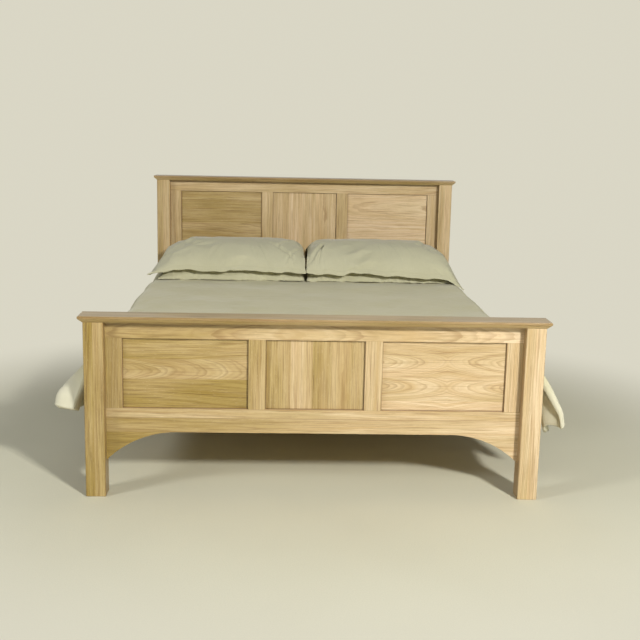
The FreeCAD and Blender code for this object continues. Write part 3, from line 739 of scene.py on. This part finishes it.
def duvet_inner(path, s):
    """The duvet's lining, for a distance across the cloth from its middle and one along it.

    Across the mattress it is level. Past the shoulder it turns through a quarter circle, and
    from there hangs along a line that leans out just enough to clear the side rail. Each side
    also stands out in slow folds along the bed, and in the flare at its foot corner, which
    starts softly under the shoulder. A point's height follows from the cloth's length between
    it and the shoulder.
    """
    side = np.sign(path)
    away = np.abs(path)
    bend = np.clip((away - SHOULDER[0]) / LINING_TURN, 0, 1) * math.pi / 2
    hang = np.maximum(away - SHOULDER[0] - LINING_TURN, 0)
    x = np.minimum(away, SHOULDER[0]) + LINING_ROUND * np.sin(bend)
    z = SHOULDER[1] + LINING_ROUND * np.cos(bend)
    left = side < 0
    share = np.clip(hang / np.where(left, HANG[-1], HANG[1]), 0, 1)
    out, back, longer = (np.where(left, eased(s, FLARE_MARKS, FLARES[-1][k], 0.02),
                                  eased(s, FLARE_MARKS, FLARES[1][k], 0.02)) for k in range(3))
    folds = (0.013 * (1 + ripples(s, side * 0.4, 0.34, 11))
             + 0.004 * (1 + ripples(s, side * 0.3, 0.11, 5)))
    folds = np.clip(folds * smooth(0.12, 0.42, s), 0, 0.05)
    hang = hang * (1 + longer / 0.235)
    tuck = 1 - 0.16 * smooth(0.78, 1.0, share)
    flare = out * share ** 0.95 * smooth(0.0, 0.24, share) * tuck
    stand = hang * LEAN + flare + folds * share ** 1.5
    x = x + stand
    z = z - np.sqrt(np.maximum(hang ** 2 - stand ** 2, 0))
    return side * x, s - back * share, z


def round_rim(inside):
    """How full the duvet is, by the distance inside its rim: a quarter circle from 0 to 1."""
    return np.sqrt(np.clip(1 - (1 - np.clip(inside / DUVET_RIM, 0, 1)) ** 2, 0, 1))


def duvet():
    """The duvet: a lining that follows the mattress and a fuller, softly creased face over it.

    The face stands off the lining by the filling's thickness, which grows from nothing at the
    rim along a quarter ellipse, thins towards the hems, and swells and creases over the top.
    """
    cloth_left, cloth_right = HALF_TOP + HANG[-1], HALF_TOP + HANG[1]
    width = cloth_left + cloth_right
    across = -cloth_left + width * spread(236)
    along = DUVET_LENGTH * spread(232)
    s, path = np.meshgrid(along, across, indexing="xy")
    x, y, z = duvet_inner(path, s)
    lining = np.stack([x, DUVET_FOOT + y, z], axis=2)

    from_side = np.minimum(path + cloth_left, cloth_right - path)
    from_end = np.minimum(s, DUVET_LENGTH - s)
    farther = np.maximum(from_side, from_end)
    edge = round_rim(np.minimum(from_side, from_end))
    edge = edge * np.where(farther < DUVET_RIM, round_rim(farther), 1)
    hang = np.clip((np.abs(path) - HALF_TOP) / 0.22, 0, 1)
    thick = 0.0215 - 0.0075 * hang * smooth(0.02, 0.2, s)
    thick = thick + 0.009 * np.sin(np.pi * hang) * np.exp(-(s / 0.05) ** 2) * (path > HALF_TOP)
    swell = 0.0020 * ripples(path, s, 0.42, 21) + 0.0012 * ripples(path, s * 0.8, 0.16, 22)
    fine = 0.0006 * ripples(path * 1.6, s, 0.06, 23)
    creases = np.zeros_like(s)
    for x0, y0, x1, y1, crease_width, depth in DUVET_CREASES:
        creases += crease(path, s, (x0, y0), (x1, y1), crease_width, depth)
    on_top = 1 - smooth(0.0, 0.5, hang)
    stand = (thick + (swell + fine + creases) * (0.35 + 0.65 * on_top)) * edge
    face = lining + facing(lining) * stand[:, :, None]
    flat = np.stack([path + cloth_left, s], axis=2)
    piece = two_sheets("duvet_cover", face, lining, flat)
    piece.data.materials.append(woven("sage_duvet_cotton", "cfc9a1", "c1bb90", 0.0011, 0.00012,
                                      (width, DUVET_LENGTH, 0.008),
                                      painted_highlight=(cloth_left, HALF_TOP, "e2dfcd")))
    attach(piece, "duvet")
    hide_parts("duvet")


# ---- Pillows -----------------------------------------------------------------------------------
PILLOW_Y = 0.756              # the middle of all four pillows, along the bed
PILLOW_X = 0.383              # the middle of an upper pillow, from the bed's middle
DUVET_ROUND = 0.0465          # how round the duvet's face is over the mattress edge


def knee(t, sharp):
    """A line that climbs from 0 and bends over to 1: t over the root of one plus its power."""
    return t / (1 + t ** sharp) ** (1 / sharp)


def outer_slope(out):
    """A pillow's long straight slope down to its outer end, from -1 inside to 1 outside."""
    return knee(np.clip(1 - out, 0, 2) / 0.235, 5)


def inner_end(out):
    """A pillow's blunt inner end, where the two pillows meet."""
    return knee(np.clip(1 + out, 0, 2) / 0.12, 3)


def full_along(out):
    """How full a pillow is along its length: its two ends in one."""
    return outer_slope(out) * inner_end(out)


def bed_top(x):
    """The height of the duvet under a point: level, then round over the mattress edge."""
    past = np.clip(np.abs(x) - SHOULDER[0], 0, None)
    round_over = np.sqrt(np.clip(DUVET_ROUND ** 2 - past ** 2, 0, None))
    return np.where(past < 0.046, SHOULDER[1] + round_over, 0.42)


def pillow_plan(side, columns, rows, depth, inner, outer):
    """Where each point of a pillow lies in plan, from -1 to 1 outwards and across it.

    The points crowd towards the rim. All four edges are drawn in between the corners.
    """
    along = np.sin(np.linspace(-np.pi / 2, np.pi / 2, columns))[:, None] * np.ones((1, rows))
    v = np.sin(np.linspace(-np.pi / 2, np.pi / 2, rows))[None, :] * np.ones((columns, 1))
    half_depth = depth / 2 * (1 - 0.06 * (1 - np.abs(along) ** 2.5))
    half_width = (outer - inner) / 2 * (1 - 0.03 * (1 - np.abs(v) ** 2.5))
    x = side * (inner + outer) / 2 + along * half_width
    return along * side, v, x, PILLOW_Y + v * half_depth, half_depth


def on_rim(out, v):
    """Which points of a pillow lie on the seam round it."""
    return (np.abs(out) > AT_RIM) | (np.abs(v) > AT_RIM)


def lower_pillow(name, side, seed):
    """A pillow pressed flat between the duvet and the pillow on top of it.

    Its cross-section is flat below and above, with a round shoulder front and back. Both faces
    meet in the seam round its rim, which puckers along the front, where small tucks run up the
    face.
    """
    out, v, x, y, half_depth = pillow_plan(side, 150, 84, 0.386, 0.008, 0.722)
    full = full_along(out)
    half_flat = 0.128
    off = np.clip((np.abs(y - PILLOW_Y) - half_flat) / (half_depth - half_flat), 0, 1)
    shoulder = np.sqrt(np.clip(1 - off ** 2.1, 0, 1))
    top = BED + 0.0050 + 0.0905 * full * shoulder + 0.003 * (1 - off ** 4)
    seam = BED + 0.0050 + 0.005 * ripples(x, y * 0, 0.07, seed + 3) * (v < 0) * full
    seam = np.maximum(seam, BED + 0.0015)
    under = BED + 0.0006 + 0.0035 * off ** 4 + 0.0035 * (1 - full)
    creases = np.zeros_like(x)
    chance = np.random.default_rng(seed)
    for _ in range(16):
        at = side * 0.365 + chance.uniform(-0.33, 0.33)
        lean = chance.uniform(-0.09, 0.09)
        creases += crease(x, y, (at, PILLOW_Y - 0.200), (at + lean, PILLOW_Y - 0.11), 0.006, 0.011)
    shape = smooth(0, 0.25, off) * smooth(0, 0.15, 1 - off)
    top = top + (creases + 0.004 * ripples(x, y, 0.11, seed + 1)) * shape
    rim = on_rim(out, v)
    top = np.where(rim, seam, np.maximum(top, np.maximum(seam, under + 0.002)))
    under = np.where(rim, seam, np.minimum(under, seam - 1e-4))
    end_lift = 0.040 * (1 - inner_end(out)) * (1 - np.abs(v) ** 2.5)
    tucks = ripples(x + 0.5 * top, y * 0, 0.045, seed + 4) * (v < 0) * smooth(0.3, 0.9, off) * full
    return sewn_pillow(name, x, y + 0.0026 * tucks, top + end_lift, under + end_lift, out * side, v)


# Folds of each upper pillow, from its middle: the start and end along and across it, the width
# and the depth. The first ones are pulled in at the pillow's inner end.
PILLOW_FOLDS = {
    -1: ((0.33, -0.215, 0.17, -0.06, 0.008, 0.014), (0.365, 0.04, 0.22, -0.14, 0.008, 0.012),
         (0.20, -0.23, 0.13, -0.08, 0.006, 0.010), (0.14, -0.22, 0.10, -0.12, 0.006, 0.008),
         (0.36, -0.10, 0.27, -0.225, 0.007, 0.012), (-0.36, -0.18, -0.20, -0.06, 0.009, 0.007),
         (-0.10, -0.22, -0.02, -0.08, 0.009, 0.005), (0.02, 0.02, 0.22, 0.10, 0.011, 0.005)),
    1: ((-0.36, -0.22, -0.24, -0.02, 0.010, 0.020), (-0.32, -0.225, -0.28, -0.06, 0.007, 0.014),
        (-0.365, 0.00, -0.24, 0.08, 0.009, 0.012), (0.02, -0.04, 0.10, -0.22, 0.008, 0.008),
        (0.07, -0.04, 0.15, -0.18, 0.007, 0.007), (-0.03, -0.06, 0.01, -0.22, 0.007, 0.008),
        (0.35, -0.17, 0.18, -0.03, 0.009, 0.008), (-0.16, 0.08, 0.04, 0.02, 0.012, 0.005)),
}

# How the front outer corner of each upper pillow lies: how far it reaches out, and how far it is
# lifted, or hangs, from the level of the rest.
PILLOW_CORNER = {-1: (0.004, 0.024), 1: (0.014, -0.026)}


def upper_pillow(name, side, seed):
    """A pillow that drapes over the lower one.

    Its face rises from the front seam over the crown to the back seam. Its underside is level
    over the lower pillow and hangs from there in front and behind. The front seam waves a
    little, the outer corner stands up or droops over the bed's edge, and the face is creased
    where it is pulled.
    """
    out, v, x, y, half_depth = pillow_plan(side, 160, 110, 0.478, 0.0075, 0.7585)
    full = full_along(out)
    level = BED + 0.0092 + 0.0925 * outer_slope(out)
    end_lift = 0.036 * (1 - inner_end(out)) * (1 - np.abs(v) ** 2.5)
    rest = BED + 0.006
    wave = 0.007 * ripples(x, y * 0, 0.26, seed + 5) + 0.003 * ripples(x, y * 0, 0.08, seed + 6)
    hang = 0.44 if side < 0 else 0.33 - 0.13 * out
    front = rest + (level - rest) * hang + wave * full
    back = rest + (level - rest) * 0.55
    edge = np.where(v < 0, front, back)
    half_level = 0.176
    off = np.clip((np.abs(y - PILLOW_Y) - half_level) / (half_depth - half_level), 0, 1)
    under = level + (edge - level) * off ** 1.15 + end_lift
    rise = level + 0.006 + 0.077 * full ** 0.85
    chord = front + (back - front) * (v + 1) / 2 + 0.003
    bulge = np.clip(1 - np.abs(v) ** 2.2, 0, 1) ** 0.62
    over = chord + (rise - chord) * bulge + end_lift
    creases = np.zeros_like(x)
    middle = side * PILLOW_X
    for x0, y0, x1, y1, width, depth in PILLOW_FOLDS[side]:
        creases += crease(x, y, (middle + x0, PILLOW_Y + y0), (middle + x1, PILLOW_Y + y1),
                          width, depth)
    chance = np.random.default_rng(seed)
    for _ in range(26):
        at, lean = middle + chance.uniform(-0.35, 0.35), chance.uniform(-0.03, 0.03)
        way = chance.choice((-1, 1))
        start, end = PILLOW_Y + way * 0.236, PILLOW_Y + way * chance.uniform(0.16, 0.20)
        creases += crease(x, y, (at, start), (at + lean, end), 0.0045, 0.0040)
    soft = 0.0022 * ripples(x, y, 0.22, seed + 1) * (1 - smooth(0.7, 1.0, bulge) * 0.5)
    soft += 0.0011 * ripples(x, y, 0.08, seed + 2)
    over = over + (creases + soft) * smooth(0, 0.35, bulge) * smooth(0, 0.35, full)
    rim = on_rim(out, v)
    meet = np.where(rim & (np.abs(v) <= AT_RIM), (under + over) / 2, edge + 0.0015)
    over = np.where(rim, meet, np.maximum(over, under + 0.004))
    under = np.where(rim, meet, under)
    reach, lift = PILLOW_CORNER[side]
    corner = smooth(0.3, 1.0, -v)
    x = x + side * reach * smooth(0.55, 1.0, out) * corner
    tip = lift * smooth(0.80, 1.0, out) * corner
    floor_line = bed_top(x) + 0.0015
    under = np.maximum(under + tip, floor_line)
    over = np.maximum(over + tip, np.where(rim, floor_line, floor_line + 0.004))
    under = np.where(rim, over, under)
    return sewn_pillow(name, x, y, over, under, out * side, v)


def sewn_pillow(name, x, y, top, under, u, v):
    """A pillow from the heights of its two faces over one plan."""
    flat = np.stack([(u + 1) * 0.376, (v + 1) * 0.25], axis=2)
    over = np.stack([x, y, top], axis=2)
    below = np.stack([x, y, under], axis=2)
    return two_sheets(name, over, below, flat)


def settle(piece, frames, pressure, excess, cap):
    """Lets the cloth of a piece find its wrinkles.

    The fabric is cut a little larger than the filling and blown up gently, without gravity. No
    point moves further than the cap.
    """
    mesh = piece.data
    count = len(mesh.vertices)
    before = np.empty(count * 3)
    mesh.vertices.foreach_get("co", before)
    cloth = piece.modifiers.new("fabric", "CLOTH")
    stiffness = 15.0
    settings = cloth.settings
    settings.quality = 4
    settings.mass = 0.3
    settings.tension_stiffness = stiffness
    settings.compression_stiffness = stiffness
    settings.shear_stiffness = stiffness * 0.4
    settings.bending_stiffness = 0.35
    settings.shrink_min = -excess
    settings.use_pressure = True
    settings.uniform_pressure_force = pressure
    settings.effector_weights.gravity = 0.0
    cloth.collision_settings.use_collision = False
    cloth.point_cache.frame_start = 1
    cloth.point_cache.frame_end = frames
    for number in range(1, frames + 1):
        scene.frame_set(number)
    moved = piece.evaluated_get(bpy.context.evaluated_depsgraph_get()).to_mesh()
    after = np.empty(count * 3)
    moved.vertices.foreach_get("co", after)
    piece.to_mesh_clear()
    piece.modifiers.remove(cloth)
    scene.frame_set(1)
    step = (after - before).reshape(-1, 3)
    far = np.linalg.norm(step, axis=1, keepdims=True)
    step *= np.minimum(1, cap / np.maximum(far, 1e-9))
    mesh.vertices.foreach_set("co", (before.reshape(-1, 3) + step).ravel())
    mesh.update()


def pillows():
    """The four pillows: two pairs, one on top of the other, in one cotton."""
    cotton = woven("sage_pillow_cotton", "c8c5a8", "b9b697", 0.0011, 0.00012,
                   (0.752, 0.5, 0.004))
    for side_name, side in (("left", -1), ("right", 1)):
        for make, level, seed in ((lower_pillow, "lower", 31), (upper_pillow, "upper", 47)):
            node = f"pillow_{level}_{side_name}"
            piece = make(node + "_case", side, seed + side)
            piece.data.materials.append(cotton)
            if level == "upper":
                settle(piece, 16, 1.2, 0.045, 0.009)
            else:
                settle(piece, 10, 0.4, 0.05, 0.003)
            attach(piece, node)
            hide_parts(node)


# ---- Mattress ----------------------------------------------------------------------------------
MATTRESS_LOW, MATTRESS_HIGH = 0.2806, 0.4804
MATTRESS_HALF = (0.7495, 0.9995)
MATTRESS_CORNER = 0.070
QUILT_DIAMOND = 0.17          # twice the distance between two lines of quilting
PANEL_EDGE = 0.024            # how far a quilted panel stays inside the outline
# How the edge rounds over from a panel to the border: the inset from the outline, the rise.
MATTRESS_EDGE = ((PANEL_EDGE, 0.0), (0.012, 0.006), (0.004, 0.017), (0.0, 0.030))
PIPING = 0.0032               # the thickness of the piping, from its middle to its skin
PIPING_RISE = 0.0215


def round_outline(turns, half_x, half_y, corner):
    """Points round a rectangle with round corners, evenly spaced.

    With them come their outward headings and their distances along the outline.
    The outline is four straight runs joined by quarter circles. It starts in the middle of the
    right side and goes anticlockwise.
    """
    quarter = corner * math.pi / 2
    runs = [half_y - corner, quarter, 2 * (half_x - corner), quarter, 2 * (half_y - corner),
            quarter, 2 * (half_x - corner), quarter, half_y - corner]
    marks = np.concatenate([[0], np.cumsum(runs)])
    t = np.arange(turns) / turns * marks[-1]
    turn = np.interp(t, marks, np.array([0, 0, 1, 1, 2, 2, 3, 3, 4, 4]) * math.pi / 2)
    heading = np.stack([np.cos(turn), np.sin(turn)], axis=1)
    side_x = np.array([1, 1, 1, -1, -1, -1, -1, 1, 1, 1]) * (half_x - corner)
    side_y = np.array([0, 1, 1, 1, 1, -1, -1, -1, -1, 0]) * (half_y - corner)
    centre = np.stack([np.interp(t, marks, side_x), np.interp(t, marks, side_y)], axis=1)
    return centre + heading * corner, heading, t


def mattress():
    """A sprung mattress: quilted panels above and below, a plain border and two rows of piping.

    The body is the outline carried down a profile, and each panel is the outline drawn in
    towards the middle, with diamond quilting pressed into it as the product of two slanting
    waves.
    """
    low, high = MATTRESS_LOW, MATTRESS_HIGH
    outline, heading, t = round_outline(440, *MATTRESS_HALF, MATTRESS_CORNER)
    rows, flats = [], []
    draw_in = np.concatenate([[0.0], np.linspace(0.035, 1, 46)[:-1]])

    def panel_ring(share, z, up):
        """One ring of a quilted panel, which is as deep as its stitches are near."""
        ring = outline * share - heading * PANEL_EDGE * share
        quilt = np.abs(np.sin((ring[:, 0] + ring[:, 1]) * math.pi / QUILT_DIAMOND)
                       * np.sin((ring[:, 0] - ring[:, 1]) * math.pi / QUILT_DIAMOND)) ** 0.5
        depth = 0.0045 * (1 - quilt) * min(1.0, (1 - share) * 22)
        return np.column_stack([ring, np.full(len(ring), z) - up * depth]), ring

    for share in draw_in:
        ring, flat = panel_ring(share, low, -1)
        rows.append(ring)
        flats.append(flat)
    wall = [(inset, low + rise) for inset, rise in MATTRESS_EDGE]
    wall += [(0.0, z) for z in np.linspace(low + 0.040, high - 0.040, 9)]
    wall += [(inset, high - rise) for inset, rise in reversed(MATTRESS_EDGE)]
    for inset, z in wall:
        rows.append(np.column_stack([outline - heading * inset, np.full(len(t), z)]))
        flats.append(np.column_stack([t, np.full(len(t), z)]))
    for share in draw_in[::-1]:
        ring, flat = panel_ring(share, high, 1)
        rows.append(ring)
        flats.append(flat)
    grid = np.stack(rows)
    levels, turns, _ = grid.shape
    middle = grid[1:-1].reshape(-1, 3)
    ends = np.stack([grid[0].mean(0), grid[-1].mean(0)])
    number = np.arange((levels - 2) * turns).reshape(levels - 2, turns)
    ahead = np.roll(number, -1, axis=1)
    faces = np.stack([number[:-1], ahead[:-1], ahead[1:], number[1:]], axis=2).reshape(-1, 4)
    poles = len(middle) + np.arange(2)
    first = [(poles[0], b, a) for a, b in zip(number[0], ahead[0])]
    last = [(poles[1], a, b) for a, b in zip(number[-1], ahead[-1])]
    points = np.concatenate([middle, ends])
    flat = np.concatenate([np.concatenate(flats[1:-1]), np.zeros((2, 2))])
    body = mesh_piece("mattress_body", points, faces.tolist() + first + last, flat)
    body.data.materials.append(woven("mattress_ticking", "cfc9bb", "c0b9a8", 0.0018, 0.0002,
                                     sheen=0.15))
    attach(body, "mattress")
    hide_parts("mattress")

    piping = woven("mattress_piping_cotton", "d9cfb8", "c7bca2", 0.0010, 0.0001, sheen=0.2)
    for name, z in (("mattress_piping_lower", low + PIPING_RISE),
                    ("mattress_piping_upper", high - PIPING_RISE)):
        tube = round_tube(name, outline - heading * PIPING, heading, z, PIPING, t)
        tube.data.materials.append(piping)
        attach(tube, "mattress")


def round_tube(name, line, heading, z, radius, t):
    """A closed ring of cord: a small circle carried round a level outline."""
    turn = np.arange(8) / 8 * 2 * math.pi
    out = line[:, None, :] + heading[:, None, :] * (radius * np.cos(turn))[None, :, None]
    up = np.broadcast_to(z + radius * np.sin(turn), out.shape[:2])
    points = np.dstack([out, up]).reshape(-1, 3)
    number = np.arange(len(points)).reshape(len(line), 8)
    after = np.roll(number, -1, axis=0)
    faces = np.stack([number, after, np.roll(after, -1, axis=1), np.roll(number, -1, axis=1)],
                     axis=2).reshape(-1, 4)
    flat = np.dstack(np.broadcast_arrays(t[:, None], turn * radius)).reshape(-1, 2)
    return mesh_piece(name, points, faces.tolist(), flat)


# ---- Screws ------------------------------------------------------------------------------------
def screw_heads(name, places, facing_way, radius, material):
    """Countersunk screw heads with a cross recess, all alike, as one piece.

    Each head is a low dome: rings of twelve points whose height falls with the square of their
    radius. The innermost ring is sunk along the two arms of the cross, and the middle point is
    sunk too.
    """
    way = np.array(facing_way, float)
    first = np.array([0.0, 0, 1]) if abs(way[2]) < 0.5 else np.array([1.0, 0, 0])
    second = np.cross(way, first)
    turn = np.arange(12) / 12 * 2 * math.pi
    rings = []
    for share, sunk in ((1.0, -1.6), (1.0, 0.0), (0.62, 0.0), (0.56, -1.0), (0.0, -1.1)):
        arm = np.abs(np.cos(2 * turn)) ** 2
        height = 0.0006 * (1 - share ** 2) + 0.0010 * sunk * (arm if 0 < share < 0.6 else 1)
        if share == 0.0:
            rings.append((np.zeros((1, 3)) + way * height))
            continue
        plan = radius * share * (np.cos(turn)[:, None] * first + np.sin(turn)[:, None] * second)
        rings.append(plan + np.outer(np.broadcast_to(height, 12), way))
    base = np.mean(rings[0], axis=0, keepdims=True)
    head = np.concatenate([base] + rings)
    faces = []
    for k in range(12):
        j = (k + 1) % 12
        faces.append((0, 1 + j, 1 + k))
        for ring in range(3):
            a = 1 + ring * 12
            faces.append((a + k, a + j, a + 12 + j, a + 12 + k))
        faces.append((37 + k, 37 + j, 49))
    faces_all, points_all = [], []
    for number, place in enumerate(places):
        points_all.append(head + np.array(place))
        faces_all += [tuple(i + number * len(head) for i in f) for f in faces]
    piece = mesh_piece(name, np.concatenate(points_all), faces_all)
    piece.data.materials.append(material)
    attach(piece, "bed_frame")


def screws():
    """The wood screws in the slats and ledges, and the screws in the centre rail's shoes."""
    zinc = steel("zinc_screws", "c6b98f")
    wood_screw, shoe_screw = 0.0042, 0.0036
    slats = []
    for number in range(1, 15):
        low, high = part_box(f"slat_{number:02d}")
        for x in (-0.737, 0.737):
            slats.append((x, (low[1] + high[1]) / 2, high[2]))
    screw_heads("slat_screws", slats, (0, 0, 1), wood_screw, zinc)
    for side_name, side in (("left", -1), ("right", 1)):
        low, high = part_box(f"slat_ledge_{side_name}")
        x = high[0] if side < 0 else low[0]
        places = [(x, y, (low[2] + high[2]) / 2) for y in np.linspace(-0.94, 0.94, 9)]
        screw_heads(f"ledge_screws_{side_name}", places, (-side, 0, 0), wood_screw, zinc)
    for end, way in (("foot", 1), ("head", -1)):
        low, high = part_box(f"centre_rail_shoe_{end}")
        plate = 0.002
        y = low[1] + plate if way > 0 else high[1] - plate
        places = [(x, y, z) for x in (-0.0495, 0.0495) for z in (0.233, 0.253)]
        screw_heads(f"shoe_screws_{end}", places, (0, way, 0), shoe_screw, zinc)


# ---- Floor -------------------------------------------------------------------------------------
def floor():
    """A level floor, wide enough to reach the horizon."""
    size = 60.0
    points = [(-size, -size, 0), (size, -size, 0), (size, size, 0), (-size, size, 0)]
    ground = mesh_piece("floor", points, [(0, 1, 2, 3)])
    ground.data.materials.append(carpet("floor_carpet", "e0dec8", "d4d1ba"))


# ---- Everything --------------------------------------------------------------------------------
photograph_camera()
even_sky()
soft_light("key", (2.5, -5.5, 3.1), (0.2, -0.4, 0.4), 0.5, 312.0, (1.0, 0.985, 0.95))
soft_light("fill", (-4.1, -3.6, 2.7), (-0.3, 0.0, 0.4), 1.0, 92.0, (0.98, 0.99, 1.0))
floor()
oak_pieces()
pine_pieces()
steel_pieces()
mattress()
duvet()
pillows()
screws()
